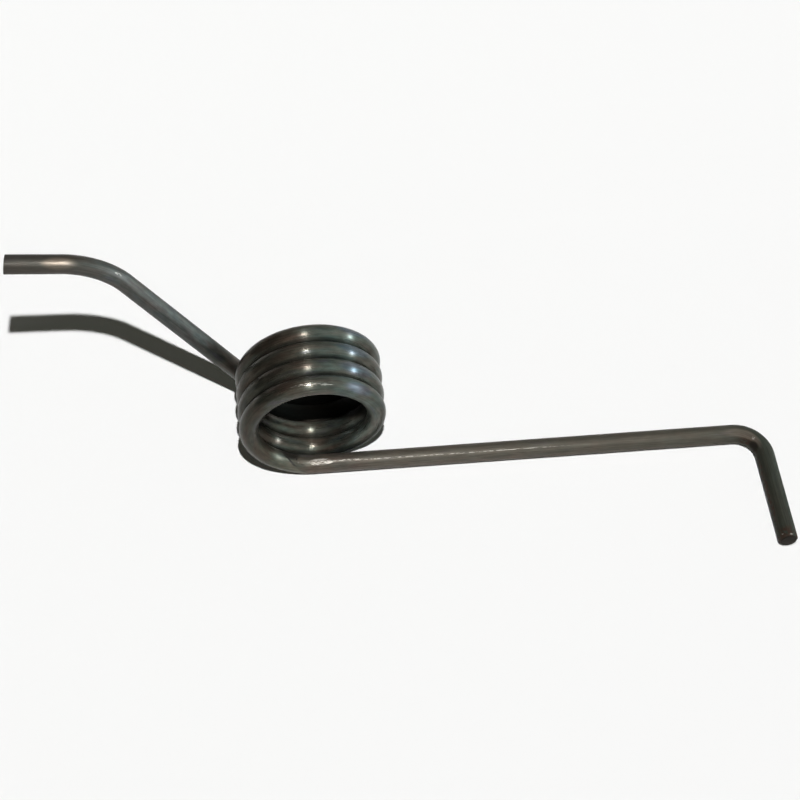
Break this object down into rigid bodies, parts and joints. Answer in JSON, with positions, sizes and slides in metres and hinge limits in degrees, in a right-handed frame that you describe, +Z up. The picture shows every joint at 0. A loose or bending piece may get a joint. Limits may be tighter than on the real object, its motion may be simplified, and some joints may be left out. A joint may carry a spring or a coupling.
{
  "type": "torsion spring",
  "caption": "Right-hand wound torsion spring of round steel wire, with a long straight leg that ends in a hook and a short arm bent outwards.",
  "frame": {"origin": "on the coil's axis, halfway along the coil", "axes": "+X along the long leg, +Y along the coil's axis away from the hook's side, +Z up as the spring lies"},
  "size_m": [0.1903, 0.0676, 0.0724],
  "materials": {
    "spring_steel": "bare hard-drawn spring steel, dark grey, smooth with faint drawing lines and small scuffs"
  },
  "bodies": {
    "root": {"torsion_spring": "spring_steel"}
  },
  "joints": []
}
